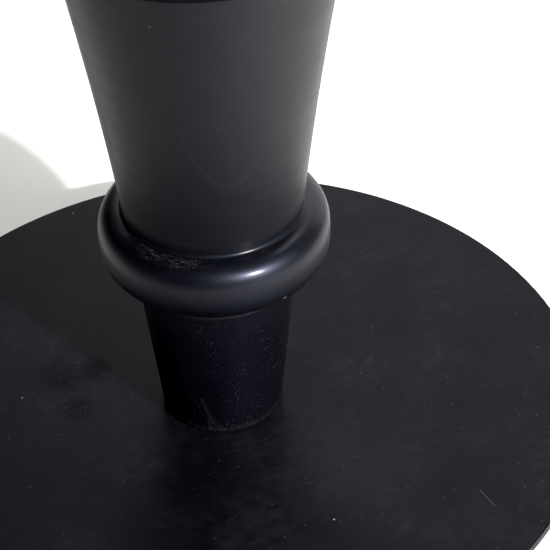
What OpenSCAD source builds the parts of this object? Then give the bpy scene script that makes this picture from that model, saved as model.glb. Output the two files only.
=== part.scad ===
// Round pedestal table: a turned wooden column clamped by a tie rod between a
// steel base plate and a mounting plate, with a turned top and four levelling glides.
// Millimetres. Origin on the floor, on the column's axis, +Z up.
// The upper half of the column repeats the lower half, mirrored about the middle ring.

/* [Table] */
// Height of the table from the floor to the top's upper face
table_h = 750; // [720:5:780]
// Diameter of the top
top_d = 600; // [500:10:700]
// Thickness of the top
top_t = 22; // [20:1:30]

/* [Base plate] */
// Diameter of the base plate
base_d = 430; // [400:5:500]
// Thickness of the base plate
base_t = 6; // [5:0.5:10]

/* [Column] */
// Diameter of the foot where it stands on the base plate
foot_narrow_d = 70.6; // [68:0.2:80]
// Diameter of the foot under the lower ring
foot_wide_d = 92.6; // [88:0.2:96]
// Height of the foot
foot_h = 107; // [90:1:120]
// Height of the lower and the upper ring
ring_h = 36.2; // [32:0.2:42]
// Diameter of the lower and the upper ring
ring_d = 130; // [120:0.2:140]
// Diameter of the shaft at its narrow end
shaft_narrow_d = 100.8; // [96:0.2:106]
// Diameter of the shaft at its wide end
shaft_wide_d = 153.8; // [140:0.2:160]
// How deep the shaft's outline is hollowed between its ends
shaft_hollow = 1.6; // [0.5:0.1:4]
// Height of the middle ring
middle_ring_h = 50; // [40:1:56]
// Diameter of the middle ring
middle_ring_d = 189; // [180:1:200]
// Squareness of the rings' outline: 2 is an ellipse, more is squarer
ring_squareness = 2.8; // [2:0.1:4]

/* [Joints in the column] */
// Diameter of the tenons at the lower and the upper ring
tenon_d = 56; // [40:1:64]
// Diameter of the tenon at the middle ring
middle_tenon_d = 100; // [60:1:120]
// Depth that each tenon enters its socket
tenon_in = 15; // [10:1:25]
// Glue gap around each tenon, on the radius
glue_gap = 0.15; // [0.1:0.05:0.3]

/* [Hardware] */
// Diameter of the tie rod
rod_d = 12; // [10:1:12]
// Diameter of the mounting plate
mounting_d = 220; // [200:5:260]
// Thickness of the mounting plate
mounting_t = 5; // [4:0.5:6]
// Diameter of the circle of screws that hold the top
top_screw_pcd = 180; // [160:5:190]
// Number of screws that hold the top
top_screw_n = 6; // [4:1:8]

/* [Levelling glides] */
// Diameter of the circle on which the glides stand
glide_pcd = 350; // [300:5:360]
// Diameter of a glide's pad
pad_d = 32; // [28:1:40]
// Height of a glide's pad
pad_h = 6; // [4:0.5:8]
// Diameter of a glide's screw
stud_d = 8; // [6:1:8]

/* [Hidden] */

$fn = 96;

coat = "#1f1f22";     // powder-coated steel
lacquer = "#1a1a1c";  // lacquered wood
zinc = "#b4b7ba";     // zinc-plated steel
nylon = "#222224";    // glide pads

edge_r = 2;           // eased edges of the turned pieces, and the fillet under each shaft
groove_w = 1.6;       // turned groove near the wide end of the foot and of the neck
groove_depth = 0.7;
groove_drop = 10.8;   // from the ring to the middle of the groove
plate_edge_r = 0.8;   // eased edges of the steel plates
top_edge_w = 12;      // width of the turned edge of the top
edge_steps = 6;       // straight steps in a small rounding
outline_steps = 16;   // straight steps in a long curve

glide_n = 4;
hex_h = 4;            // hexagon on a glide's screw
hex_af = 14;
boss_d = 16;
boss_h = 12;
boss_gap = 0.05;      // running fit of the screw in its boss, on the radius
pad_gap = 0.1;        // and in its pad
rivet_d = 12;         // swaged end that keeps the screw in the pad
rivet_h = 1.2;
rivet_z = 0.5;        // its lower face above the floor

washer_d = 37;
washer_t = 2.5;
nut_af = 19;
thin_nut_h = 6.5;
nut_h = 10;
nut_gap = 0.05;
rod_end = 0.5;        // what the rod stands out of its nuts
rod_hole_d = rod_d + 1;
column_bore_d = rod_d + 2;
recess_d = 44;        // room for the top nut, in the top
recess_h = 14;

screw_d = 4.5;
screw_head_d = 9;
screw_head_h = 2.6;
screw_gap = 0.05;
column_screw_n = 3;
column_screw_l = 28;
column_screw_pcd = 52;
top_screw_l = 18;

base_z = pad_h + hex_h + boss_h;
column_z = base_z + base_t;
mounting_z = table_h - top_t - mounting_t;
top_z = table_h - top_t;
middle_z = (column_z + mounting_z) / 2;
lower_ring_z = column_z + foot_h;
shaft_z = lower_ring_z + ring_h;
shaft_h = middle_z - middle_ring_h / 2 - shaft_z;
ring_waist_d = shaft_narrow_d - 2 * edge_r;
middle_waist_d = shaft_wide_d - 2 * edge_r;

// Points of an arc about [x, z], from angle a0 to a1
function arc(x, z, r, a0, a1, steps = edge_steps) =
    [for (i = [0:steps]) let (a = a0 + (a1 - a0) * i / steps) [x + r * cos(a), z + r * sin(a)]];

// Points of a half superellipse, w wide and h high, that bulges towards +X from [x, z]
function bulge(x, z, w, h, squareness, steps) =
    [for (i = [0:steps]) let (a = -90 + 180 * i / steps)
        [x + w * pow(abs(cos(a)), 2 / squareness),
         z + h / 2 * sign(a) * pow(abs(sin(a)), 2 / squareness)]];

// Radius of the shaft at the fraction t of its height: a straight taper less a shallow hollow
function shaft_r(t) =
    (shaft_narrow_d + (shaft_wide_d - shaft_narrow_d) * t) / 2 - 4 * shaft_hollow * t * (1 - t);

// Radius of the foot's straight taper at the height z
function foot_r(z) =
    (foot_narrow_d + (foot_wide_d - foot_narrow_d) * (z - column_z - edge_r) / (foot_h - 2 * edge_r)) / 2;

// A turned solid about the Z axis, from its outline on the +X side
module turned(outline) {
    rotate_extrude() polygon(outline);
}

// A disc with both edges eased, standing on z
module eased_disc(d, t, z, r) {
    turned(concat(
        [[0, z]],
        arc(d / 2 - r, z + r, r, -90, 0),
        arc(d / 2 - r, z + t - r, r, 0, 90),
        [[0, z + t]]));
}

module hole(d, z, h) {
    translate([0, 0, z]) cylinder(d = d, h = h);
}

// Copies at equal angles on a circle
module on_circle(pcd, n, turn = 0) {
    for (i = [0:n - 1]) rotate(turn + 360 * i / n) translate([pcd / 2, 0, 0]) children();
}

// Mirrors a child about the middle of the column
module mirrored() {
    translate([0, 0, 2 * middle_z]) mirror([0, 0, 1]) children();
}

// Countersunk wood screw, its head's face at z = 0 and its point up; gap widens it into its hole
module wood_screw(length, gap = 0) {
    cylinder(d1 = screw_head_d + 2 * gap, d2 = screw_d + 2 * gap, h = screw_head_h);
    cylinder(d = screw_d + 2 * gap, h = length - screw_d);
    translate([0, 0, length - screw_d]) cylinder(d1 = screw_d + 2 * gap, d2 = 0.6 + 2 * gap, h = screw_d + gap);
}

module cross_recess() {
    for (turn = [0, 90]) rotate(turn) translate([-2.2, -0.5, -1]) cube([4.4, 1, 2.4]);
}

module driven_screw(length) {
    difference() {
        wood_screw(length);
        cross_recess();
    }
}

// Hexagonal nut standing on z, its corners cut back by cones
module hex_nut(z, h) {
    across_corners = nut_af / cos(30);
    translate([0, 0, z]) difference() {
        intersection() {
            cylinder(d = across_corners, h = h, $fn = 6);
            cylinder(d1 = nut_af - 0.5 + 2 * h, d2 = nut_af - 0.5, h = h);
            cylinder(d1 = nut_af - 0.5, d2 = nut_af - 0.5 + 2 * h, h = h);
        }
        translate([0, 0, -1]) cylinder(d = rod_d + 2 * nut_gap, h = h + 2);
    }
}

module washer(z) {
    difference() {
        hole(washer_d, z, washer_t);
        hole(rod_hole_d, z - 1, washer_t + 2);
    }
}

// Base

module base_plate() {
    color(coat) difference() {
        eased_disc(base_d, base_t, base_z, plate_edge_r);
        hole(rod_hole_d, base_z - 1, base_t + 2);
        foot_screw_places() wood_screw(column_screw_l, screw_gap);
    }
}

module glide_bosses() {
    color(coat) on_circle(glide_pcd, glide_n) difference() {
        hole(boss_d, pad_h + hex_h, boss_h);
        hole(stud_d + 2 * boss_gap, pad_h + hex_h - 1, boss_h + 2);
    }
}

module at_glide(number) {
    rotate(360 * (number - 1) / glide_n) translate([glide_pcd / 2, 0, 0]) children();
}

module glide_pad(number) {
    recess_top = rivet_z + rivet_h + pad_gap;
    color(nylon) at_glide(number) difference() {
        turned(concat(
            [[0, 0]],
            arc(pad_d / 2 - 1, 1, 1, -90, 0),
            arc(pad_d / 2 - 1, pad_h - 1, 1, 0, 90),
            [[0, pad_h]]));
        hole(rivet_d + 1, -1, 1 + recess_top);
        hole(stud_d + 2 * pad_gap, 0, pad_h + 1);
    }
}

module glide_stem(number) {
    color(zinc) at_glide(number) union() {
        hole(rivet_d, rivet_z, rivet_h);
        hole(stud_d, rivet_z, base_z - 0.4 - rivet_z);
        translate([0, 0, pad_h]) cylinder(d = hex_af / cos(30), h = hex_h, $fn = 6);
    }
}

// Column

// Cone with its narrow end on the base plate and a groove near the other end; its tenon passes
// through the ring into the shaft
module foot_shape() {
    tenon_top = shaft_z + tenon_in;
    narrow_r = foot_narrow_d / 2;
    wide_r = foot_wide_d / 2;
    groove_z = lower_ring_z - groove_drop;
    difference() {
        turned(concat(
            [[0, column_z]],
            arc(narrow_r - edge_r, column_z + edge_r, edge_r, -90, 0),
            [[foot_r(groove_z - groove_w / 2), groove_z - groove_w / 2],
             [foot_r(groove_z) - groove_depth, groove_z + 0.15 * groove_w],
             [foot_r(groove_z + groove_w / 2), groove_z + groove_w / 2]],
            arc(wide_r - edge_r, lower_ring_z - edge_r, edge_r, 0, 90),
            [[tenon_d / 2, lower_ring_z], [tenon_d / 2, tenon_top - 1],
             [tenon_d / 2 - 1, tenon_top], [0, tenon_top]]));
        hole(column_bore_d, column_z - 1, tenon_top - column_z + 2);
    }
}

// Ring with a squashed half-round outline and flat faces, bored to slide over a tenon
module ring_shape(z, h, d, waist_d, bore_d) {
    difference() {
        turned(concat(
            [[0, z]],
            bulge(waist_d / 2, z + h / 2, (d - waist_d) / 2, h, ring_squareness, 2 * outline_steps),
            [[0, z + h]]));
        hole(bore_d + 2 * glue_gap, z - 1, h + 2);
    }
}

// Flaring shaft, its narrow end down with a fillet onto the ring, without the tenon or socket at its
// wide end
module shaft_shape() {
    shaft_top = shaft_z + shaft_h;
    difference() {
        turned(concat(
            [[0, shaft_z]],
            arc(shaft_r(0) + edge_r, shaft_z + edge_r, edge_r, 270, 180),
            [for (i = [1:outline_steps - 1]) let (t = i / outline_steps) [shaft_r(t), shaft_z + t * shaft_h]],
            arc(shaft_r(1) - edge_r, shaft_top - edge_r, edge_r, 0, 90),
            [[0, shaft_top]]));
        hole(column_bore_d, shaft_z - 1, shaft_h + 2);
        hole(tenon_d + 2 * glue_gap, shaft_z - 1, 1 + tenon_in + 0.5);
    }
}

module foot() {
    color(lacquer) difference() {
        foot_shape();
        foot_screw_places() wood_screw(column_screw_l, screw_gap);
    }
}

module neck() {
    color(lacquer) difference() {
        mirrored() foot_shape();
        neck_screw_places() wood_screw(column_screw_l, screw_gap);
    }
}

module lower_ring() {
    color(lacquer) ring_shape(lower_ring_z, ring_h, ring_d, ring_waist_d, tenon_d);
}

module upper_ring() {
    color(lacquer) mirrored() ring_shape(lower_ring_z, ring_h, ring_d, ring_waist_d, tenon_d);
}

module middle_ring() {
    color(lacquer)
        ring_shape(middle_z - middle_ring_h / 2, middle_ring_h, middle_ring_d, middle_waist_d, middle_tenon_d);
}

module lower_shaft() {
    tenon_z = shaft_z + shaft_h;
    color(lacquer) union() {
        shaft_shape();
        difference() {
            hole(middle_tenon_d, tenon_z, middle_ring_h + tenon_in);
            hole(column_bore_d, tenon_z - 1, middle_ring_h + tenon_in + 2);
        }
    }
}

module upper_shaft() {
    color(lacquer) difference() {
        mirrored() shaft_shape();
        hole(middle_tenon_d + 2 * glue_gap, middle_z + middle_ring_h / 2 - 1, 1 + tenon_in + 0.5);
    }
}

// Top

module mounting_plate() {
    color(coat) difference() {
        eased_disc(mounting_d, mounting_t, mounting_z, plate_edge_r);
        hole(rod_hole_d, mounting_z - 1, mounting_t + 2);
        neck_screw_places() wood_screw(column_screw_l, screw_gap);
        top_screw_places() wood_screw(top_screw_l, screw_gap);
    }
}

module table_top() {
    color(lacquer) difference() {
        turned(concat(
            [[0, top_z]],
            bulge(top_d / 2 - top_edge_w, top_z + top_t / 2, top_edge_w, top_t, ring_squareness, 2 * outline_steps),
            [[0, top_z + top_t]]));
        hole(recess_d, top_z - 1, 1 + recess_h);
        top_screw_places() wood_screw(top_screw_l, screw_gap);
    }
}

// Hardware

module foot_screw_places() {
    on_circle(column_screw_pcd, column_screw_n, 90) translate([0, 0, base_z]) children();
}

module neck_screw_places() {
    on_circle(column_screw_pcd, column_screw_n, 90) translate([0, 0, top_z]) mirror([0, 0, 1]) children();
}

module top_screw_places() {
    on_circle(top_screw_pcd, top_screw_n) translate([0, 0, mounting_z]) children();
}

module foot_screws() {
    color(zinc) foot_screw_places() driven_screw(column_screw_l);
}

module neck_screws() {
    color(zinc) neck_screw_places() driven_screw(column_screw_l);
}

module top_screws() {
    color(zinc) top_screw_places() driven_screw(top_screw_l);
}

module tie_rod() {
    bottom = base_z - washer_t - thin_nut_h - rod_end;
    top = top_z + washer_t + nut_h + rod_end;
    color(zinc) turned([
        [0, bottom], [rod_d / 2 - 1, bottom], [rod_d / 2, bottom + 1],
        [rod_d / 2, top - 1], [rod_d / 2 - 1, top], [0, top]]);
}

module bottom_washer() {
    color(zinc) washer(base_z - washer_t);
}

module bottom_nut() {
    color(zinc) hex_nut(base_z - washer_t - thin_nut_h, thin_nut_h);
}

module top_washer() {
    color(zinc) washer(top_z);
}

module top_nut() {
    color(zinc) hex_nut(top_z + washer_t, nut_h);
}

base_plate();
glide_bosses();
glide_pad(1);  // glide_pad_1
glide_pad(2);  // glide_pad_2
glide_pad(3);  // glide_pad_3
glide_pad(4);  // glide_pad_4
glide_stem(1);  // glide_stem_1
glide_stem(2);  // glide_stem_2
glide_stem(3);  // glide_stem_3
glide_stem(4);  // glide_stem_4
foot();
lower_ring();
lower_shaft();
middle_ring();
upper_shaft();
upper_ring();
neck();
mounting_plate();
table_top();
tie_rod();
bottom_washer();
bottom_nut();
top_washer();
top_nut();
foot_screws();
neck_screws();
top_screws();
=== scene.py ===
"""Round pedestal table: the looks of its turned column, steel plates, top and levelling glides.

Run as a script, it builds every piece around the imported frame. It is laid out as an add-on: a panel in the
sidebar of the 3D view has the sizes and finishes, and one button for each piece or group of like pieces.
Sizes are in metres, and every piece stands where the frame has it.
"""

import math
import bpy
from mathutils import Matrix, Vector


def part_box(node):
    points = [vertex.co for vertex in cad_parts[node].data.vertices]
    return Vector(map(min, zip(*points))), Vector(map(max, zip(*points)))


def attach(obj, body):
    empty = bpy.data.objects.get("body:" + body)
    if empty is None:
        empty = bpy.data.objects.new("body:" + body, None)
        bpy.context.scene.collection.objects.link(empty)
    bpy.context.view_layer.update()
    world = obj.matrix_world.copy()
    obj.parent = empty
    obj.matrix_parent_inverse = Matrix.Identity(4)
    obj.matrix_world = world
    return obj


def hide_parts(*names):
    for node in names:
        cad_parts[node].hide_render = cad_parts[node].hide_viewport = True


bl_info = {
    "name": "Round pedestal table",
    "version": (1, 0, 0),
    "blender": (4, 5, 0),
    "location": "3D View > Sidebar > Table",
    "description": "Builds a round table on a turned column, with its finishes and a plain studio",
    "category": "Object",
}

import bmesh
import bpy
from bpy.props import FloatProperty, FloatVectorProperty, IntProperty, PointerProperty
from mathutils import Matrix, Vector

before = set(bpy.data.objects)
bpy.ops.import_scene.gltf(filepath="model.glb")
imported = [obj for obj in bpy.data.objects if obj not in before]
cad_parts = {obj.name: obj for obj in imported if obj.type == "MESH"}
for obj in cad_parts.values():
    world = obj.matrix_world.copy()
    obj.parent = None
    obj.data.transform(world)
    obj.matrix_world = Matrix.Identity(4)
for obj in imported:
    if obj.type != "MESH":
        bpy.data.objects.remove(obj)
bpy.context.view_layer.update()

MM = 0.001
TABLE = "table"  # the body that everything but the glides belongs to
RAIL = 10 * MM  # radius of the circle that outlines are spun along

PLATE_LOW, PLATE_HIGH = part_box("base_plate")
LOWER_RING_LOW, LOWER_RING_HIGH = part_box("lower_ring")
MIDDLE_RING_LOW, MIDDLE_RING_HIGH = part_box("middle_ring")
UPPER_RING_LOW, UPPER_RING_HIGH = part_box("upper_ring")
MOUNTING_LOW, MOUNTING_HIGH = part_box("mounting_plate")
TOP_LOW, TOP_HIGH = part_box("table_top")
COLUMN_LOW = PLATE_HIGH.z
COLUMN_HIGH = MOUNTING_LOW.z
COLUMN_MIDDLE = (COLUMN_LOW + COLUMN_HIGH) / 2
PAD_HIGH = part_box("glide_pad_1")[1].z
GLIDE_RADIUS = sum(corner.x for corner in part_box("glide_pad_1")) / 2

# Each lacquer's roughness and sheen, and the weight and roughness of the gloss on top
SHAFT_GLOSS = {"rough": 0.62, "sheen": 0.163, "coat": 0.372, "coat_rough": 0.253}
FOOT_GLOSS = {"rough": 0.515, "sheen": 0.197, "coat": 0.127, "coat_rough": 0.253}
RING_GLOSS = {"rough": 0.45, "sheen": 0.30, "coat": 0.20, "coat_rough": 0.19}


# Colours


def colour(code):
    """Linear colour, with full alpha, from an sRGB hex code."""
    channels = [int(code[i:i + 2], 16) / 255 for i in (1, 3, 5)]
    return tuple(c / 12.92 if c <= 0.04045 else ((c + 0.055) / 1.055) ** 2.4 for c in channels) + (1.0,)


def swatch(name, description, code):
    return FloatVectorProperty(name=name, description=description, default=colour(code)[:3],
                               size=3, min=0, max=1, subtype="COLOR")


def size(name, description, default, low, high):
    return FloatProperty(name=name, description=description, default=default, min=low, max=high,
                         subtype="DISTANCE", unit="LENGTH", precision=4)


# Settings that a user would change


class TableSizes(bpy.types.PropertyGroup):
    foot_radius: size("Foot radius", "Radius of the foot where it stands on the plate", 0.0353, 0.03, 0.04)
    shaft_radius: size("Shaft radius", "Radius of each shaft at its narrow end", 0.0504, 0.048, 0.053)
    shaft_hollow: size("Shaft hollow", "Depth that each shaft's outline is hollowed", 0.0016, 0.0, 0.004)
    ring_squareness: FloatProperty(name="Ring squareness", default=2.8, min=2, max=4,
                                   description="2 rounds the rings to an ellipse, more makes them squarer")
    eased_edge: size("Eased edge", "Radius of the turned pieces' eased edges", 0.002, 0.0005, 0.004)
    bore_radius: size("Bore radius", "Radius of the bore down the column", 0.007, 0.006, 0.01)
    top_edge: size("Top edge", "Width of the turned edge of the top", 0.012, 0.004, 0.03)
    recess_radius: size("Recess radius", "Radius of the recess for the nut in the top", 0.022, 0.015, 0.03)
    recess_depth: size("Recess depth", "Depth of the recess for the nut in the top", 0.014, 0.01, 0.018)
    steps_round: IntProperty(name="Steps round", default=192, min=48, max=256,
                             description="Straight steps in a turned piece's circle")


class TableFinishes(bpy.types.PropertyGroup):
    lacquer: swatch("Lacquer", "Black lacquer on the turned wood", "#040407")
    rubbed: swatch("Rubbed wood", "Bare brown wood where the lacquer is rubbed through", "#6e5a3c")
    powder: swatch("Powder coat", "Black powder coat on the steel plates", "#09090d")
    dust: swatch("Dust", "Specks of dust and lint", "#8e9094")
    zinc: swatch("Zinc plate", "Zinc plate on the screws, nuts and rod", "#c3c6c9")
    nylon: swatch("Nylon", "Moulded nylon of the glide pads", "#19191b")
    paper: swatch("Studio paper", "Paper that the table stands on", "#f3f1ed")


class StageSettings(bpy.types.PropertyGroup):
    camera_distance: size("Camera distance", "From the column's axis, level", 0.92324, 0.5, 6)
    camera_height: size("Camera height", "Above the base plate", 0.84306, 0.2, 3)
    camera_lens: FloatProperty(name="Lens", description="Focal length on a 36 mm frame", default=136.86,
                               min=20, max=300, subtype="DISTANCE_CAMERA", unit="CAMERA")
    camera_down: FloatProperty(name="Tilt", description="How far the camera looks down",
                               default=math.radians(39.260), subtype="ANGLE", unit="ROTATION")
    camera_turn: FloatProperty(name="Turn", description="How far the camera looks to the right of the column",
                               default=math.radians(2.057), subtype="ANGLE", unit="ROTATION")
    camera_roll: FloatProperty(name="Roll", description="How far the camera is rolled",
                               default=math.radians(-1.781), subtype="ANGLE", unit="ROTATION")
    lamp_side: FloatProperty(name="Lamp side", description="How far right of the camera the lamp stands",
                             default=math.radians(37.1), subtype="ANGLE", unit="ROTATION")
    lamp_rise: FloatProperty(name="Lamp rise", description="How high the lamp stands over the base plate",
                             default=math.radians(30.3), subtype="ANGLE", unit="ROTATION")
    lamp_distance: size("Lamp distance", "From the foot of the column to the lamp", 1.70, 0.8, 6)
    lamp_power: FloatProperty(name="Lamp power", description="Power of the lamp", default=10.3, min=0,
                              unit="POWER")
    backdrop_power: FloatProperty(name="Backdrop power", description="Power of the lit backdrop",
                                  default=21.8, min=0, unit="POWER")
    overhead_power: FloatProperty(name="Overhead power", description="Power of the softbox overhead",
                                  default=16.1, min=0, unit="POWER")
    room_light: FloatProperty(name="Room light", description="Light from the rest of the room", default=0.003,
                              min=0)


# Nodes


def add(tree, kind, settings=None, inputs=None):
    """Adds a node, with its settings. An input takes a value, a socket, or a node's first output in use."""
    node = tree.nodes.new(kind)
    for key, value in (settings or {}).items():
        setattr(node, key, value)
    for key, value in (inputs or {}).items():
        if isinstance(value, bpy.types.Node):
            value = next(socket for socket in value.outputs if socket.enabled)
        if isinstance(value, bpy.types.NodeSocket):
            tree.links.new(value, node.inputs[key])
        else:
            node.inputs[key].default_value = value
    return node


def new_group(name, inputs):
    """An empty geometry nodes tree with named inputs, and the node that gives them."""
    tree = bpy.data.node_groups.new(name, "GeometryNodeTree")
    for title, kind in inputs.items():
        tree.interface.new_socket(title, in_out="INPUT", socket_type="NodeSocket" + kind)
    tree.interface.new_socket("Shape", in_out="OUTPUT", socket_type="NodeSocketGeometry")
    return tree, add(tree, "NodeGroupInput").outputs


def finish_group(tree, shape, material):
    """Ends a tree with a plain mesh in its material."""
    real = add(tree, "GeometryNodeRealizeInstances", None, {"Geometry": shape})
    painted = add(tree, "GeometryNodeSetMaterial", None, {"Geometry": real, "Material": material})
    add(tree, "NodeGroupOutput", None, {"Shape": painted})
    return tree


def spin_tree():
    """Spins an outline round the Z axis into a closed shape."""
    tree, given = new_group("Turned shape", {"Outline": "Geometry", "Rail radius": "Float",
                                             "Steps round": "Int", "Material": "Material"})
    rail = add(tree, "GeometryNodeCurvePrimitiveCircle", {"mode": "RADIUS"},
               {"Resolution": given["Steps round"], "Radius": given["Rail radius"]})
    spun = add(tree, "GeometryNodeCurveToMesh", None, {"Curve": rail, "Profile Curve": given["Outline"]})
    merged = add(tree, "GeometryNodeMergeByDistance", None, {"Geometry": spun, "Distance": 0.001 * MM})
    smooth = add(tree, "GeometryNodeSetShadeSmooth", None, {"Geometry": merged})
    return finish_group(tree, smooth, given["Material"])


def circle_tree():
    """Sets copies of a part at equal angles on a circle, each turned about itself by chance."""
    tree, given = new_group("Copies on a circle", {"Part": "Geometry", "Count": "Int",
                                                   "Circle radius": "Float", "Height": "Float",
                                                   "First angle": "Float", "Seed": "Int",
                                                   "Material": "Material"})
    circle = add(tree, "GeometryNodeMeshCircle", {"fill_type": "NONE"},
                 {"Vertices": given["Count"], "Radius": given["Circle radius"]})
    lift = add(tree, "ShaderNodeCombineXYZ", None, {"Z": given["Height"]})
    first = add(tree, "ShaderNodeCombineXYZ", None, {"Z": given["First angle"]})
    places = add(tree, "GeometryNodeTransform", None,
                 {"Geometry": circle, "Translation": lift, "Rotation": first})
    chance = add(tree, "FunctionNodeRandomValue", {"data_type": "FLOAT"},
                 {"Min": 0.0, "Max": 2 * math.pi, "Seed": given["Seed"]})
    angles = add(tree, "ShaderNodeCombineXYZ", None, {"Z": chance})
    turn = add(tree, "FunctionNodeEulerToRotation", None, {"Euler": angles})
    copies = add(tree, "GeometryNodeInstanceOnPoints", None,
                 {"Points": places, "Instance": given["Part"], "Rotation": turn})
    return finish_group(tree, copies, given["Material"])


def thread_tree():
    """Cuts a right-handed screw thread into a rod that stands on the Z axis, between two heights."""
    tree, given = new_group("Screw thread", {"Rod": "Geometry", "Rod radius": "Float", "Pitch": "Float",
                                             "Depth": "Float", "Material": "Material"})
    place = add(tree, "GeometryNodeInputPosition")
    axes = add(tree, "ShaderNodeSeparateXYZ", None, {"Vector": place})
    flat = add(tree, "ShaderNodeVectorMath", {"operation": "MULTIPLY"}, {0: place, 1: (1, 1, 0)})
    radius = add(tree, "ShaderNodeVectorMath", {"operation": "LENGTH"}, {0: flat}).outputs["Value"]
    gap = add(tree, "ShaderNodeMath", {"operation": "SUBTRACT"}, {0: radius, 1: given["Rod radius"]})
    apart = add(tree, "ShaderNodeMath", {"operation": "ABSOLUTE"}, {0: gap})
    on_rod = add(tree, "ShaderNodeMath", {"operation": "LESS_THAN"}, {0: apart, 1: 0.02 * MM})
    angle = add(tree, "ShaderNodeMath", {"operation": "ARCTAN2"},
                {0: axes.outputs["Y"], 1: axes.outputs["X"]})
    turns = add(tree, "ShaderNodeMath", {"operation": "DIVIDE"}, {0: angle, 1: 2 * math.pi})
    climbed = add(tree, "ShaderNodeMath", {"operation": "DIVIDE"}, {0: axes.outputs["Z"], 1: given["Pitch"]})
    phase = add(tree, "ShaderNodeMath", {"operation": "SUBTRACT"}, {0: climbed, 1: turns})
    ridge = add(tree, "ShaderNodeMath", {"operation": "PINGPONG"}, {0: phase, 1: 0.5})
    cut = add(tree, "ShaderNodeMath", {"operation": "MULTIPLY"}, {0: ridge, 1: -2.0})
    deep = add(tree, "ShaderNodeMath", {"operation": "MULTIPLY"}, {0: cut, 1: given["Depth"]})
    outward = add(tree, "ShaderNodeVectorMath", {"operation": "NORMALIZE"}, {0: flat})
    shift = add(tree, "ShaderNodeVectorMath", {"operation": "SCALE"}, {0: outward, "Scale": deep})
    cut_rod = add(tree, "GeometryNodeSetPosition", None,
                  {"Geometry": given["Rod"], "Selection": on_rod, "Offset": shift})
    return finish_group(tree, cut_rod, given["Material"])


def carried(name, carrier, build_tree, inputs, sharp_angle=35, shift=(0, 0, 0)):
    """Runs a tree on the carrier and gives the result as a plain mesh object, moved by shift."""
    bpy.context.scene.collection.objects.link(carrier)
    modifier = carrier.modifiers.new("Shape", "NODES")
    modifier.node_group = build_tree()
    for item in modifier.node_group.interface.items_tree:
        if item.in_out == "INPUT" and item.name in inputs:
            modifier[item.identifier] = inputs[item.name]
    evaluated = carrier.evaluated_get(bpy.context.evaluated_depsgraph_get())
    mesh = bpy.data.meshes.new_from_object(evaluated)
    bpy.data.objects.remove(carrier)
    mesh.name = name
    mesh.transform(Matrix.Translation(shift))
    mesh.set_sharp_from_angle(angle=math.radians(sharp_angle))
    piece = bpy.data.objects.new(name, mesh)
    bpy.context.scene.collection.objects.link(piece)
    return piece


# Turned shapes


def arc(r, z, radius, first, last, steps=6):
    """Points of an arc about (r, z), from angle first to last in degrees."""
    angles = [math.radians(first + (last - first) * i / steps) for i in range(steps + 1)]
    return [(r + radius * math.cos(a), z + radius * math.sin(a)) for a in angles]


def bulge(r, low, high, width, squareness, steps=48):
    """Points of a half superellipse that stands out by width from r, between the heights low and high."""
    points = []
    for i in range(steps + 1):
        a = math.pi * (i / steps - 0.5)
        across = abs(math.cos(a)) ** (2 / squareness)
        up = math.copysign(abs(math.sin(a)) ** (2 / squareness), a)
        points.append((r + width * across, (low + high) / 2 + (high - low) / 2 * up))
    return points


def mirrored(outline):
    """The outline upside down, about the middle of the column."""
    return [(r, 2 * COLUMN_MIDDLE - z) for r, z in reversed(outline)]


def turned(name, outline, material, bored=True):
    """A turned piece from its outline, which runs anticlockwise on the +X side. An outline that isn't bored
    starts and ends on the axis."""
    curve = bpy.data.curves.new(name + "_outline", "CURVE")
    curve.dimensions = "3D"
    spline = curve.splines.new("POLY")
    spline.points.add(len(outline) - 1)
    for point, (r, z) in zip(spline.points, reversed(outline)):
        point.co = (r - RAIL, -z, 0, 1)
    spline.use_cyclic_u = bored
    carrier = bpy.data.objects.new(name + "_outline", curve)
    steps = bpy.context.scene.table_sizes.steps_round
    return carried(name, carrier, spin_tree,
                   {"Rail radius": RAIL, "Steps round": steps, "Material": material})


def lofted(name, rings, steps=48):
    """An object closed at both ends by a point, from rings in order from its lower face out and up to its
    top. A ring is a height with a radius, or with a function that gives the radius from the angle."""
    build = bmesh.new()
    first, last = rings[0][1], rings[-1][1]
    rows = []
    for shape, z in rings[1:-1]:
        row = []
        for i in range(steps):
            a = 2 * math.pi * i / steps
            r = shape(a) if callable(shape) else shape
            row.append(build.verts.new((r * math.cos(a), r * math.sin(a), z)))
        rows.append(row)
    bottom = build.verts.new((0, 0, first))
    top = build.verts.new((0, 0, last))
    for i in range(steps):
        j = (i + 1) % steps
        build.faces.new((bottom, rows[0][j], rows[0][i]))
        for lower, upper in zip(rows, rows[1:]):
            build.faces.new((lower[i], lower[j], upper[j], upper[i]))
        build.faces.new((top, rows[-1][i], rows[-1][j]))
    for face in build.faces:
        face.smooth = True
    mesh = bpy.data.meshes.new(name)
    build.to_mesh(mesh)
    build.free()
    return bpy.data.objects.new(name, mesh)


# Finishes


def new_material(name):
    """A material, its empty tree, and the piece's own coordinates in metres."""
    material = bpy.data.materials.get(name) or bpy.data.materials.new(name)
    material.use_nodes = True
    material.node_tree.nodes.clear()
    place = add(material.node_tree, "ShaderNodeTexCoord").outputs["Object"]
    return material, material.node_tree, place


def surface(material, tree, inputs):
    shader = add(tree, "ShaderNodeBsdfPrincipled", None, inputs)
    add(tree, "ShaderNodeOutputMaterial", None, {"Surface": shader})
    return material


def lathe_place(tree, place):
    """Coordinates that change fast across the lathe's marks and slowly along them."""
    flat = add(tree, "ShaderNodeVectorMath", {"operation": "MULTIPLY"}, {0: place, 1: (1, 1, 0)})
    radius = add(tree, "ShaderNodeVectorMath", {"operation": "LENGTH"}, {0: flat}).outputs["Value"]
    axes = add(tree, "ShaderNodeSeparateXYZ", None, {"Vector": place})
    slow = add(tree, "ShaderNodeMath", {"operation": "MULTIPLY"}, {0: axes.outputs["X"], 1: 0.12})
    return add(tree, "ShaderNodeCombineXYZ", None, {"X": radius, "Y": axes.outputs["Z"], "Z": slow})


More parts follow.
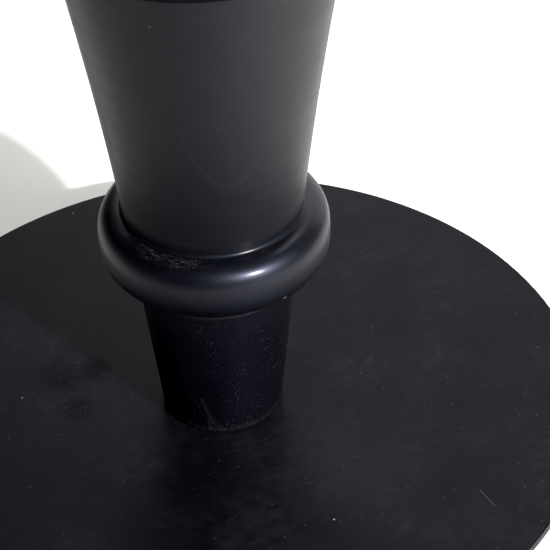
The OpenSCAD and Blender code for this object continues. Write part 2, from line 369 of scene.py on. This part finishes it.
def patches(tree, place, width, low=0.3, high=0.7, to=(0.0, 1.0), stretch=(1, 1, 1), detail=2.0):
    """Soft patches about width across, longer along an axis whose stretch is under 1. The noise from low to
    high becomes the two values of to."""
    scaled = add(tree, "ShaderNodeVectorMath", {"operation": "MULTIPLY"}, {0: place, 1: stretch})
    noise = add(tree, "ShaderNodeTexNoise", {"noise_dimensions": "3D"},
                {"Vector": scaled, "Scale": 1 / width, "Detail": detail})
    return add(tree, "ShaderNodeMapRange", {"clamp": True},
               {"Value": noise, "From Min": low, "From Max": high, "To Min": to[0], "To Max": to[1]})


def specks(tree, place, spacing, width, share):
    """Mask of round specks about width across, one to a cell of the given spacing, in a share of them."""
    cells = add(tree, "ShaderNodeTexVoronoi", {"feature": "F1"}, {"Vector": place, "Scale": 1 / spacing})
    near = add(tree, "ShaderNodeMapRange", {"clamp": True},
               {"Value": cells.outputs["Distance"], "From Min": 0.3 * width / spacing,
                "From Max": 0.6 * width / spacing, "To Min": 1.0, "To Max": 0.0})
    pick = add(tree, "ShaderNodeSeparateColor", None, {"Color": cells.outputs["Color"]})
    chosen = add(tree, "ShaderNodeMath", {"operation": "LESS_THAN"}, {0: pick, 1: share})
    return add(tree, "ShaderNodeMath", {"operation": "MULTIPLY"}, {0: near, 1: chosen})


def spot(tree, place, centre, width, core=0.5):
    """Mask of one round spot about width across, whose full strength reaches to core of its radius."""
    gap = add(tree, "ShaderNodeVectorMath", {"operation": "DISTANCE"}, {0: place, 1: centre}).outputs["Value"]
    return add(tree, "ShaderNodeMapRange", {"clamp": True, "interpolation_type": "SMOOTHSTEP"},
               {"Value": gap, "From Min": core * width / 2, "From Max": width / 2,
                "To Min": 1.0, "To Max": 0.0})


def scratch(tree, place, start, end, width):
    """Mask of a straight scratch from start to end."""
    along = Vector(end) - Vector(start)
    offset = add(tree, "ShaderNodeVectorMath", {"operation": "SUBTRACT"}, {0: place, 1: start})
    reach = add(tree, "ShaderNodeVectorMath", {"operation": "DOT_PRODUCT"},
                {0: offset, 1: along / along.length_squared}).outputs["Value"]
    inside = add(tree, "ShaderNodeClamp", None, {"Value": reach})
    nearest = add(tree, "ShaderNodeVectorMath", {"operation": "SCALE"}, {0: along, "Scale": inside})
    gap = add(tree, "ShaderNodeVectorMath", {"operation": "DISTANCE"},
              {0: offset, 1: nearest}).outputs["Value"]
    return add(tree, "ShaderNodeMapRange", {"clamp": True, "interpolation_type": "SMOOTHSTEP"},
               {"Value": gap, "From Min": 0.1 * width, "From Max": 0.6 * width, "To Min": 1.0, "To Max": 0.0})


def any_of(tree, masks):
    """A mask as strong as the strongest of several."""
    strongest = masks[0]
    for mask in masks[1:]:
        strongest = add(tree, "ShaderNodeMath", {"operation": "MAXIMUM"}, {0: strongest, 1: mask})
    return strongest


def paint(tree, base, over, layers):
    """Lays a colour over the base in layers. A layer is its amount, then the masks that it is kept to."""
    for amount, *masks in layers:
        factor = amount
        for mask in masks:
            factor = add(tree, "ShaderNodeMath", {"operation": "MULTIPLY", "use_clamp": True},
                         {0: mask, 1: factor})
        base = add(tree, "ShaderNodeMix", {"data_type": "RGBA"}, {"Factor": factor, "A": base, "B": over})
    return base


def near_height(tree, place, height, full, none):
    """Mask that is full within one distance of a height, and nothing past another."""
    axes = add(tree, "ShaderNodeSeparateXYZ", None, {"Vector": place})
    gap = add(tree, "ShaderNodeMath", {"operation": "SUBTRACT"}, {0: axes.outputs["Z"], 1: height})
    apart = add(tree, "ShaderNodeMath", {"operation": "ABSOLUTE"}, {0: gap})
    return add(tree, "ShaderNodeMapRange", {"clamp": True},
               {"Value": apart, "From Min": full, "From Max": none, "To Min": 1.0, "To Max": 0.0})


def rgba(value):
    return (*value, 1.0)


def on_column(angle, radius, height):
    """The point at an angle in degrees round the column from its front, and at a height above the plate."""
    a = math.radians(angle)
    return Vector((radius * math.sin(a), -radius * math.cos(a), COLUMN_LOW + height))


def powder_coated_steel():
    """Matt powder coat, sprayed dry and baked: a fine orange peel breaks up its reflections, wiping has left
    cloudy scuffs, three greasy marks are duller, and dust and lint show as pale specks."""
    finish = bpy.context.scene.table_finishes
    material, tree, place = new_material("powder_coated_steel")
    on_plate = COLUMN_LOW
    lathe = lathe_place(tree, place)
    slant = add(tree, "ShaderNodeMapping", None, {"Vector": place, "Rotation": (0, 0, math.radians(-28))})
    film = patches(tree, place, 38 * MM, 0.4, 0.75, detail=4.0)
    handling = patches(tree, place, 6 * MM, detail=4.0)
    scuffs = patches(tree, slant, 4 * MM, 0.5, 0.8, stretch=(0.16, 1, 1), detail=5.0)
    swept = patches(tree, lathe, 2.2 * MM, 0.45, 0.75, detail=4.0)
    beside_foot = spot(tree, place, (36 * MM, -46 * MM, on_plate), 130 * MM, 0.2)
    rub = spot(tree, place, (70 * MM, -72 * MM, on_plate), 110 * MM, 0.0)
    hairs = patches(tree, slant, 1.2 * MM, 0.66, 0.74, stretch=(0.1, 1, 1), detail=2.0)
    fine_dust = specks(tree, place, 5.5 * MM, 0.7 * MM, 0.5)
    lint = specks(tree, place, 24 * MM, 1.3 * MM, 0.5)
    nick = scratch(tree, place, (141.7 * MM, -93.5 * MM, on_plate), (148.4 * MM, -106.7 * MM, on_plate),
                   0.5 * MM)
    base = paint(tree, rgba(finish.powder), rgba(finish.dust), [
        (0.02, film, handling), (0.012, scuffs, film), (0.01, beside_foot, swept), (0.012, rub),
        (0.025, hairs), (0.26, fine_dust), (1.0, lint), (0.18, nick)])
    grease = any_of(tree, [spot(tree, place, (-98 * MM, 20 * MM, on_plate), 50 * MM, 0.1),
                           spot(tree, place, (-78 * MM, 26 * MM, on_plate), 34 * MM, 0.1),
                           spot(tree, place, (-88 * MM, -8 * MM, on_plate), 36 * MM, 0.1)])
    cloud = patches(tree, place, 22 * MM, to=(0.336, 0.396), detail=3.0)
    rough = add(tree, "ShaderNodeMath", {"operation": "MULTIPLY_ADD"}, {0: grease, 1: 0.35, 2: cloud})
    peel = patches(tree, place, 1.1 * MM, 0.0, 1.0, detail=1.0)
    bump = add(tree, "ShaderNodeBump", None, {"Strength": 0.6, "Distance": 0.012 * MM, "Height": peel})
    return surface(material, tree, {"Base Color": base, "Roughness": rough, "Specular IOR Level": 0.09,
                                    "Specular Tint": colour("#e6eaff"), "Normal": bump})


def lacquered_wood(name, gloss, add_marks, grain=(1, 1, 0.06)):
    """Hardwood under rubbed black lacquer: the lacquer fills the grain, so only faint pores and the tool's
    fine marks are left to soften the sheen, with a thin sharper gloss on top. The grit is drawn as coarse as
    it needs to be to show. The marks are added over the plain lacquer."""
    finish = bpy.context.scene.table_finishes
    material, tree, place = new_material(name)
    lathe = lathe_place(tree, place)
    pores = patches(tree, place, 0.7 * MM, stretch=grain)
    tooling = patches(tree, lathe, 1.4 * MM, 0.0, 1.0, detail=2.0)
    grit = patches(tree, place, 0.5 * MM, 0.0, 1.0, detail=1.0)
    base = paint(tree, rgba(finish.lacquer), colour("#020203"), [(0.25, pores)])
    base = add_marks(tree, place, base, finish)
    bands = patches(tree, lathe, 9 * MM, to=(-0.025, 0.025), detail=3.0)
    cloud = patches(tree, place, 30 * MM, to=(gloss["rough"] - 0.03, gloss["rough"] + 0.03),
                    stretch=(1, 1, 0.5), detail=3.0)
    rough = add(tree, "ShaderNodeMath", {"operation": "ADD"}, {0: bands, 1: cloud})
    worked = add(tree, "ShaderNodeMath", {"operation": "MULTIPLY_ADD"}, {0: tooling, 1: 0.6, 2: grit})
    relief = add(tree, "ShaderNodeMath", {"operation": "MULTIPLY_ADD"}, {0: pores, 1: 0.3, 2: worked})
    bump = add(tree, "ShaderNodeBump", None, {"Strength": 0.6, "Distance": 0.012 * MM, "Height": relief})
    return surface(material, tree, {"Base Color": base, "Roughness": rough,
                                    "Specular IOR Level": gloss["sheen"], "Specular Tint": colour("#d2dcff"),
                                    "Coat Weight": gloss["coat"], "Coat Roughness": gloss["coat_rough"],
                                    "Normal": bump})


def shaft_marks(tree, place, base, finish):
    """A painted reflection of the plate's rim as two thin lighter lines, each of which a flaring shaft cuts
    as a long U, and a little dust.
    """
    turn = math.radians(9.3)
    across = add(tree, "ShaderNodeVectorMath", {"operation": "DOT_PRODUCT"},
                 {0: place, 1: (math.sin(turn), -math.cos(turn), 0)}).outputs["Value"]
    apart = add(tree, "ShaderNodeMath", {"operation": "ABSOLUTE"}, {0: across})
    # Painted reflection: two thin lighter lines stand in for the plate's rim mirrored in the shaft's lacquer
    painted_rim_reflection = add(tree, "ShaderNodeMath", {"operation": "COMPARE"}, {0: apart, 1: 56.6 * MM, 2: 0.12 * MM})
    faded = patches(tree, place, 14 * MM, 0.3, 0.6, to=(0.4, 1.0))
    fine_dust = specks(tree, place, 11 * MM, 0.5 * MM, 0.2)
    smear = patches(tree, lathe_place(tree, place), 5 * MM, 0.55, 0.85, detail=4.0)
    fleck = spot(tree, place, on_column(-20.6, 72.4 * MM, 302 * MM), 3 * MM, 0.2)
    return paint(tree, base, rgba(finish.dust),
                 [(0.022, painted_rim_reflection, faded), (0.06, fine_dust), (0.012, smear), (0.25, fleck)])


def foot_marks(tree, place, base, finish):
    """Fine dust in drifts, scuffs low down where feet and brooms knock it, and a faint lighter band where it
    meets the plate.
    """
    drift = patches(tree, place, 13 * MM, 0.42, 0.62, stretch=(1, 1, 0.6), detail=3.0)
    fine_dust = specks(tree, place, 1.6 * MM, 0.6 * MM, 0.6)
    dust = specks(tree, place, 8 * MM, 0.7 * MM, 0.3)
    top, bend, end = (on_column(-19.0, 38.1 * MM, 28 * MM), on_column(-12.0, 36.4 * MM, 11 * MM),
                      on_column(-2.0, 35.5 * MM, 3 * MM))
    fork, fork_end = on_column(-14.0, 36.6 * MM, 13 * MM), on_column(-14.0, 35.6 * MM, 3 * MM)
    streaks = any_of(tree, [scratch(tree, place, top, bend, 3.4 * MM),
                            scratch(tree, place, bend, end, 5.0 * MM),
                            scratch(tree, place, fork, fork_end, 3.0 * MM)])
    fibres = patches(tree, place, 1.1 * MM, 0.3, 0.75, stretch=(1, 1, 0.3), detail=3.0)
    # A faint lighter band round the foot's bottom edge, where it meets the plate
    lighter_band_at_plate = near_height(tree, place, COLUMN_LOW + 2.0 * MM, 0.8 * MM, 4.5 * MM)
    return paint(tree, base, rgba(finish.dust), [
        (0.15, fine_dust, drift), (0.22, dust), (0.03, streaks, fibres), (0.03, lighter_band_at_plate, fibres)])


def ring_marks(tree, place, base, finish):
    """Rubbed through to grey and brown fibres along the joint with the shaft, with a thin spot, and a painted
    glint on a small chip in the lower edge.
    """
    dust, rubbed = rgba(finish.dust), rgba(finish.rubbed)
    lathe = lathe_place(tree, place)
    joint = LOWER_RING_HIGH.z
    high = joint - COLUMN_LOW
    at_joint = any_of(tree, [near_height(tree, place, joint, 0.5 * MM, 2.6 * MM),
                             near_height(tree, place, UPPER_RING_LOW.z, 0.5 * MM, 2.6 * MM)])
    worn = any_of(tree, [spot(tree, place, on_column(-20, 53 * MM, high), 30 * MM, 0.2),
                         spot(tree, place, on_column(-38, 54 * MM, high), 30 * MM, 0.1),
                         patches(tree, place, 14 * MM, 0.5, 0.7, to=(0.0, 0.35))])
    fibres = patches(tree, lathe, 0.55 * MM, 0.45, 0.7, detail=3.0)
    flecks = patches(tree, place, 1.0 * MM, 0.42, 0.68, detail=3.0)
    brown = patches(tree, place, 4 * MM, 0.5, 0.7)
    thin_spot = spot(tree, place, on_column(30, 52 * MM, high), 9 * MM, 0.1)
    uprights = patches(tree, place, 0.8 * MM, 0.62, 0.76, stretch=(1, 1, 0.06), detail=2.0)
    # Painted glint: a pale stroke on the ring's lower edge stands in for the light caught by a small chip
    painted_chip_glint = scratch(tree, place, on_column(34.5, 63.4 * MM, 114 * MM), on_column(37.5, 63.0 * MM, 117 * MM),
                   1.2 * MM)
    base = paint(tree, base, dust, [(0.35, at_joint, worn, fibres, flecks)])
    base = paint(tree, base, rubbed, [(0.16, at_joint, worn, fibres, brown), (0.12, thin_spot, flecks)])
    return paint(tree, base, dust, [
        (0.05, uprights, flecks), (0.6, painted_chip_glint), (0.12, specks(tree, place, 8 * MM, 0.7 * MM, 0.3))])


def board_marks(tree, place, base, finish):
    """A few specks of dust, and fine scratches from use along the grain."""
    hairlines = patches(tree, place, 0.9 * MM, 0.66, 0.78, stretch=(0.02, 1, 1), detail=3.0)
    return paint(tree, base, rgba(finish.dust),
                 [(0.2, specks(tree, place, 14 * MM, 0.6 * MM, 0.35)), (0.03, hairlines)])


def zinc_plated_steel():
    """Bright zinc plate: a cool, slightly cloudy metal whose crystals break up the highlight."""
    finish = bpy.context.scene.table_finishes
    material, tree, place = new_material("zinc_plated_steel")
    cloud = patches(tree, place, 2.5 * MM, detail=3.0)
    base = paint(tree, rgba(finish.zinc), colour("#9a9d9f"), [(0.35, cloud)])
    rough = patches(tree, place, 2.5 * MM, to=(0.26, 0.42), detail=3.0)
    bump = add(tree, "ShaderNodeBump", None,
               {"Strength": 0.5, "Distance": 0.008 * MM, "Height": patches(tree, place, 0.4 * MM, 0.0, 1.0)})
    return surface(material, tree, {"Base Color": base, "Metallic": 1.0, "Roughness": rough, "Normal": bump})


def moulded_nylon():
    """Glass-filled nylon, moulded: dark, dry and faintly mottled, with the mould's spark texture."""
    finish = bpy.context.scene.table_finishes
    material, tree, place = new_material("moulded_nylon")
    mottle = patches(tree, place, 5 * MM, detail=3.0)
    base = paint(tree, rgba(finish.nylon), colour("#2b2b2d"), [(0.3, mottle)])
    rough = patches(tree, place, 5 * MM, to=(0.5, 0.62), detail=3.0)
    spark = patches(tree, place, 0.35 * MM, 0.0, 1.0, detail=1.0)
    bump = add(tree, "ShaderNodeBump", None, {"Strength": 0.6, "Distance": 0.02 * MM, "Height": spark})
    return surface(material, tree, {"Base Color": base, "Roughness": rough, "IOR": 1.53, "Normal": bump})


def studio_paper():
    """Matt white paper, with a tooth too fine to see but in the softness of its light."""
    finish = bpy.context.scene.table_finishes
    material, tree, place = new_material("studio_paper")
    base = paint(tree, rgba(finish.paper), colour("#d8d6d2"), [(0.03, patches(tree, place, 3 * MM))])
    return surface(material, tree, {"Base Color": base, "Roughness": 0.9, "Specular IOR Level": 0.1})


def repaint(names, material):
    """Gives CAD nodes that keep their shape a finish."""
    for name in names:
        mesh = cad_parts[name].data
        mesh.materials.clear()
        mesh.materials.append(material)


def stand_for(piece, node, body=TABLE):
    """The piece takes a CAD node's place and rides on its body."""
    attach(piece, body)
    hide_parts(node)


# Column


def groove(line, z, width, depth):
    """Points of a turned V groove in the wall that line gives the radius of, deepest a little above z."""
    return [(line(z - width / 2), z - width / 2), (line(z) - depth, z + 0.15 * width),
            (line(z + width / 2), z + width / 2)]


def straight(line, low, high, steps):
    """Points up a straight wall, whose radius line gives. They keep its shading even from end to end."""
    heights = [low + (high - low) * i / steps for i in range(steps + 1)]
    return [(line(z), z) for z in heights]


def foot_outline(sizes):
    """A cone, narrow end down, with a groove near its wide end."""
    narrow = sizes.foot_radius
    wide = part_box("foot")[1].x
    low = COLUMN_LOW
    high = LOWER_RING_LOW.z
    edge = sizes.eased_edge

    def wall(z):
        return narrow + (wide - narrow) * (z - low - edge) / (high - low - 2 * edge)

    middle = high - 10.8 * MM  # of the groove
    clear = 1.5 * MM  # between the wall's points and what they stop short of
    return ([(sizes.bore_radius, low)]
            + arc(narrow - edge, low + edge, edge, -90, 0)
            + straight(wall, low + edge + clear, middle - clear, 20)
            + groove(wall, middle, 1.3 * MM, 0.35 * MM)
            + straight(wall, middle + clear, high - edge - clear, 2)
            + arc(wide - edge, high - edge, edge, 0, 90)
            + [(sizes.bore_radius, high)])


def shaft_outline(sizes):
    """Flared, with a small fillet of filler where its narrow end stands on a ring."""
    narrow = sizes.shaft_radius
    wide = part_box("lower_shaft")[1].x
    low = LOWER_RING_HIGH.z
    high = MIDDLE_RING_LOW.z
    edge = sizes.eased_edge
    flare = []
    steps = 40
    for i in range(1, steps):
        t = i / steps
        taper = narrow + (wide - narrow) * t
        flare.append((taper - 4 * sizes.shaft_hollow * t * (1 - t), low + t * (high - low)))
    return ([(sizes.bore_radius, low)]
            + arc(narrow + edge, low + edge, edge, 270, 180)
            + flare
            + arc(wide - edge, high - edge, edge, 0, 90)
            + [(sizes.bore_radius, high)])


def ring_outline(sizes, low, high, waist):
    """A ring between two corners of its box, whose flat faces end at the waist."""
    return ([(sizes.bore_radius, low.z)]
            + bulge(waist, low.z, high.z, high.x - waist, sizes.ring_squareness)
            + [(sizes.bore_radius, high.z)])


class TABLE_OT_column(bpy.types.Operator):
    """Builds the seven turned pieces of the column"""

    bl_idname = "table.column"
    bl_label = "Column"

    def execute(self, context):
        sizes = context.scene.table_sizes
        edge = sizes.eased_edge
        narrow_waist = sizes.shaft_radius - edge
        wide_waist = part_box("lower_shaft")[1].x - edge
        shaft = shaft_outline(sizes)
        foot = foot_outline(sizes)
        lower_ring = ring_outline(sizes, LOWER_RING_LOW, LOWER_RING_HIGH, narrow_waist)
        middle_ring = ring_outline(sizes, MIDDLE_RING_LOW, MIDDLE_RING_HIGH, wide_waist)
        foot_finish = lacquered_wood("lacquered_foot", FOOT_GLOSS, foot_marks)
        shaft_finish = lacquered_wood("lacquered_shaft", SHAFT_GLOSS, shaft_marks)
        ring_finish = lacquered_wood("lacquered_rings", RING_GLOSS, ring_marks)
        shapes = {
            "foot": (foot, foot_finish),
            "lower_ring": (lower_ring, ring_finish),
            "lower_shaft": (shaft, shaft_finish),
            "middle_ring": (middle_ring, ring_finish),
            "upper_shaft": (mirrored(shaft), shaft_finish),
            "upper_ring": (mirrored(lower_ring), ring_finish),
            "neck": (mirrored(foot), foot_finish),
        }
        for node, (outline, material) in shapes.items():
            stand_for(turned("turned_" + node, outline, material), node)
        return {"FINISHED"}


# Plates and top


class TABLE_OT_plates(bpy.types.Operator):
    """Finishes the base plate, its glide bosses and the mounting plate"""

    bl_idname = "table.plates"
    bl_label = "Steel plates"

    def execute(self, context):
        repaint(["base_plate", "glide_bosses", "mounting_plate"], powder_coated_steel())
        return {"FINISHED"}


class TABLE_OT_top(bpy.types.Operator):
    """Builds the turned top"""

    bl_idname = "table.top"
    bl_label = "Top"

    def execute(self, context):
        sizes = context.scene.table_sizes
        low, high = TOP_LOW.z, TOP_HIGH.z
        roof = low + sizes.recess_depth
        waist = TOP_HIGH.x - sizes.top_edge
        flat = waist - 3 * MM  # a point here keeps the flat faces' shading even
        outline = ([(0, roof), (sizes.recess_radius, roof), (sizes.recess_radius, low), (flat, low)]
                   + bulge(waist, low, high, sizes.top_edge, sizes.ring_squareness)
                   + [(flat, high), (0, high)])
        board = lacquered_wood("lacquered_board", SHAFT_GLOSS, board_marks, grain=(0.06, 1, 1))
        stand_for(turned("turned_top", outline, board, bored=False), "table_top")
        return {"FINISHED"}


# Hardware


def hexagon(across_flats):
    """The radius of a hexagon at an angle."""
    def radius(angle):
        return across_flats / 2 / math.cos((angle + math.pi / 6) % (math.pi / 3) - math.pi / 6)
    return radius


def cross(length, width):
    """The radius at an angle of a cross recess, with arms of the given length and width."""
    def radius(angle):
        off = abs((angle + math.pi / 4) % (math.pi / 2) - math.pi / 4)
        return min(length / 2 / math.cos(off), width / 2 / max(math.sin(off), 0.01))
    return radius


def wavy(radius, swell, count):
    """A circle's radius at an angle, with swells round it."""
    def at(angle):
        return radius + swell * abs(math.sin(count * angle / 2))
    return at


def wood_screw(length, facing):
    """A countersunk screw with a cross recess. Its head's face is at the origin and looks down where facing
    is 1, and up where it is -1."""
    shank = 2.25 * MM
    recess = 1.4 * MM
    rings = [(0, recess), (cross(3.6 * MM, 0.9 * MM), recess), (cross(4.4 * MM, 1.0 * MM), 0), (4.4 * MM, 0),
             (4.5 * MM, 0.1 * MM), (shank, 2.6 * MM), (shank, length - 4.5 * MM), (0.3 * MM, length),
             (0, length)]
    screw = lofted("wood_screw", rings)
    if facing < 0:
        screw.data.transform(Matrix.Rotation(math.pi, 4, "X"))
    return screw


def threaded_rings(radius, low, high, pitch):
    """Rings close enough together to cut a thread into."""
    count = round((high - low) / pitch * 6)
    return [(radius, low + (high - low) * i / count) for i in range(count + 1)]


class TABLE_OT_hardware(bpy.types.Operator):
    """Builds the screws, the rod and the glides, and finishes the nuts, washers and pads"""

    bl_idname = "table.hardware"
    bl_label = "Hardware"

    def execute(self, context):
        zinc = zinc_plated_steel()
        repaint(["bottom_washer", "bottom_nut", "top_washer", "top_nut"], zinc)
        repaint([f"glide_pad_{i}" for i in range(1, 5)], moulded_nylon())
        self.drive_screws(zinc)
        self.build_rod(zinc)
        self.build_glides(zinc)
        self.weld_bosses()
        return {"FINISHED"}

    def drive_screws(self, zinc):
        """The column's screws and the top's: for each set, how many, on what radius from what angle, the
        height of the heads' faces, the screws' length, and 1 where the heads face down or -1 where up."""
        sets = {
            "foot_screws": (3, 26 * MM, 90, PLATE_LOW.z, 28 * MM, 1),
            "neck_screws": (3, 26 * MM, 90, MOUNTING_HIGH.z, 28 * MM, -1),
            "top_screws": (6, 90 * MM, 0, MOUNTING_LOW.z, 18 * MM, 1),
        }
        for seed, (node, (count, radius, first, height, length, facing)) in enumerate(sets.items()):
            screws = carried("driven_" + node, wood_screw(length, facing), circle_tree,
                             {"Count": count, "Circle radius": radius, "Height": height,
                              "First angle": math.radians(first), "Seed": seed, "Material": zinc})
            stand_for(screws, node)

    def build_rod(self, zinc):
        """The rod, with a thread at each end."""
        low, high = (corner.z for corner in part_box("tie_rod"))
        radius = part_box("tie_rod")[1].x
        pitch = 1.75 * MM
        threaded = 34 * MM
        point = radius - 0.8 * MM
        bevel = 0.4 * MM
        rings = ([(0, low), (point, low)]
                 + threaded_rings(radius, low + bevel, low + threaded, pitch)
                 + threaded_rings(radius, high - threaded, high - bevel, pitch)
                 + [(point, high), (0, high)])
        rod = carried("threaded_tie_rod", lofted("rod", rings, 24), thread_tree,
                      {"Rod radius": radius, "Pitch": pitch, "Depth": 0.9 * MM, "Material": zinc}, 50)
        stand_for(rod, "tie_rod")

    def build_glides(self, zinc):
        """The glides' screws: a swaged end in the pad, a hexagon on it, and a threaded stud."""
        hex_low = PAD_HIGH
        hex_high = PAD_HIGH + 4 * MM
        bevel = 0.4 * MM
        flats, cut = hexagon(14 * MM), hexagon(13 * MM)
        swage, swage_height = 6 * MM, 1.2 * MM
        neck = 3.6 * MM
        stud = 4 * MM
        pitch = 1.25 * MM
        for number in range(1, 5):
            node = f"glide_stem_{number}"
            low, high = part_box(node)
            rings = ([(0, low.z), (swage, low.z), (swage, low.z + swage_height), (neck, low.z + swage_height),
                      (neck, hex_low), (cut, hex_low), (flats, hex_low + bevel), (flats, hex_high - bevel),
                      (cut, hex_high)]
                     + threaded_rings(stud, hex_high, high.z - 0.5 * MM, pitch)
                     + [(stud - 0.6 * MM, high.z), (0, high.z)])
            centre = (low + high) / 2
            stem = carried("threaded_" + node, lofted(node, rings, 24), thread_tree,
                           {"Rod radius": stud, "Pitch": pitch, "Depth": 0.65 * MM, "Material": zinc}, 50,
                           (centre.x, centre.y, 0))
            stand_for(stem, node, f"glide_{number}_screw")

    def weld_bosses(self):
        """A weld bead holds each boss under the plate."""
        under = PLATE_LOW.z
        ripples = 20
        rings = [(0, under - 2.6 * MM), (7.6 * MM, under - 2.6 * MM),
                 (wavy(9.0 * MM, 0.3 * MM, ripples), under - 1.8 * MM),
                 (wavy(10.2 * MM, 0.5 * MM, ripples), under - 0.6 * MM),
                 (wavy(10.6 * MM, 0.5 * MM, ripples), under), (0, under)]
        bead = lofted("weld_bead", rings, 80)
        beads = carried("weld_beads", bead, circle_tree,
                        {"Count": 4, "Circle radius": GLIDE_RADIUS, "Height": 0.0, "First angle": 0.0,
                         "Seed": 7, "Material": bpy.data.materials["powder_coated_steel"]})
        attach(beads, TABLE)


# Studio


class TABLE_OT_stage(bpy.types.Operator):
    """Sets up the floor, the light and the camera"""

    bl_idname = "table.stage"
    bl_label = "Studio"

    def execute(self, context):
        stage = context.scene.table_stage
        self.lay_floor()
        self.hang_lights(context, stage)
        self.place_camera(context, stage)
        view = context.scene.view_settings
        view.view_transform = "Standard"
        view.use_curve_mapping = True
        view.curve_mapping.black_level = (0.002, 0.002, 0.002)
        view.curve_mapping.update()
        return {"FINISHED"}

    def lay_floor(self):
        reach = 5.0
        mesh = bpy.data.meshes.new("floor")
        corners = [(-reach, -reach, 0), (reach, -reach, 0), (reach, reach, 0), (-reach, reach, 0)]
        mesh.from_pydata(corners, [], [(0, 1, 2, 3)])
        mesh.materials.append(studio_paper())
        floor = bpy.data.objects.new("floor", mesh)
        bpy.context.scene.collection.objects.link(floor)

    def hang_lights(self, context, stage):
        world = bpy.data.worlds.new("room")
        world.use_nodes = True
        background = world.node_tree.nodes["Background"]
        background.inputs["Color"].default_value = colour("#fdfcff")
        background.inputs["Strength"].default_value = stage.room_light
        context.scene.world = world
        level = math.cos(stage.lamp_rise)
        toward = Vector((level * math.sin(stage.lamp_side), -level * math.cos(stage.lamp_side),
                         math.sin(stage.lamp_rise)))
        foot = Vector((0, 0, COLUMN_LOW))
        lit = Vector((0.10, 0.25, 0))
        lamp = foot + toward * stage.lamp_distance
        housing = lamp + toward * 0.05
        self.hang("lamp", "DISK", (0.06, 0.06), 70, stage.lamp_power, lamp, lit)
        self.hang("lamp_glow", "DISK", (0.5, 0.5), 90, 0.3 * stage.lamp_power, housing, lit)
        self.hang("backdrop", "RECTANGLE", (2.8, 1.5), 180, stage.backdrop_power,
                  Vector((1.0, 1.5, 0.8)), Vector((1.0, 0, 0.8)))
        self.hang("overhead", "RECTANGLE", (1.6, 1.2), 130, stage.overhead_power,
                  Vector((0.3, 0.9, 2.0)), Vector((0.3, 0.9, 0)))

    def hang(self, name, shape, sides, spread, power, place, aim):
        """Hangs a soft light that the camera doesn't see, turned to what it lights."""
        light = bpy.data.lights.new(name, "AREA")
        light.shape = shape
        light.size, light.size_y = sides
        light.spread = math.radians(spread)
        light.energy = power
        holder = bpy.data.objects.new(name, light)
        holder.location = place
        holder.rotation_euler = (place - aim).to_track_quat("Z", "Y").to_euler()
        holder.visible_camera = False
        bpy.context.scene.collection.objects.link(holder)

    def place_camera(self, context, stage):
        camera = bpy.data.cameras.new("camera")
        camera.lens = stage.camera_lens
        camera.sensor_width = 36
        holder = bpy.data.objects.new("camera", camera)
        turn = Matrix.Rotation(-stage.camera_turn, 4, "Z")
        tilt = Matrix.Rotation(math.pi / 2 - stage.camera_down, 4, "X")
        roll = Matrix.Rotation(stage.camera_roll, 4, "Z")
        stand = Matrix.Translation((0, -stage.camera_distance, COLUMN_LOW + stage.camera_height))
        holder.matrix_world = stand @ turn @ tilt @ roll
        context.scene.collection.objects.link(holder)
        context.scene.camera = holder


class TABLE_PT_pieces(bpy.types.Panel):
    """Lists the table's sizes, finishes and pieces"""

    bl_idname = "TABLE_PT_pieces"
    bl_label = "Round pedestal table"
    bl_space_type = "VIEW_3D"
    bl_region_type = "UI"
    bl_category = "Table"

    def draw(self, context):
        for group in (context.scene.table_sizes, context.scene.table_finishes, context.scene.table_stage):
            box = self.layout.box()
            for name in type(group).__annotations__:
                box.prop(group, name)
        for operator in PIECES:
            self.layout.operator(operator.bl_idname)


PIECES = (TABLE_OT_column, TABLE_OT_plates, TABLE_OT_top, TABLE_OT_hardware, TABLE_OT_stage)
CLASSES = (TableSizes, TableFinishes, StageSettings) + PIECES + (TABLE_PT_pieces,)


def register():
    for cls in CLASSES:
        bpy.utils.register_class(cls)
    bpy.types.Scene.table_sizes = PointerProperty(type=TableSizes)
    bpy.types.Scene.table_finishes = PointerProperty(type=TableFinishes)
    bpy.types.Scene.table_stage = PointerProperty(type=StageSettings)


def unregister():
    del bpy.types.Scene.table_stage
    del bpy.types.Scene.table_finishes
    del bpy.types.Scene.table_sizes
    for cls in reversed(CLASSES):
        bpy.utils.unregister_class(cls)


def main():
    register()
    bpy.ops.table.column()
    bpy.ops.table.plates()
    bpy.ops.table.top()
    bpy.ops.table.hardware()
    bpy.ops.table.stage()


if __name__ == "__main__":
    main()
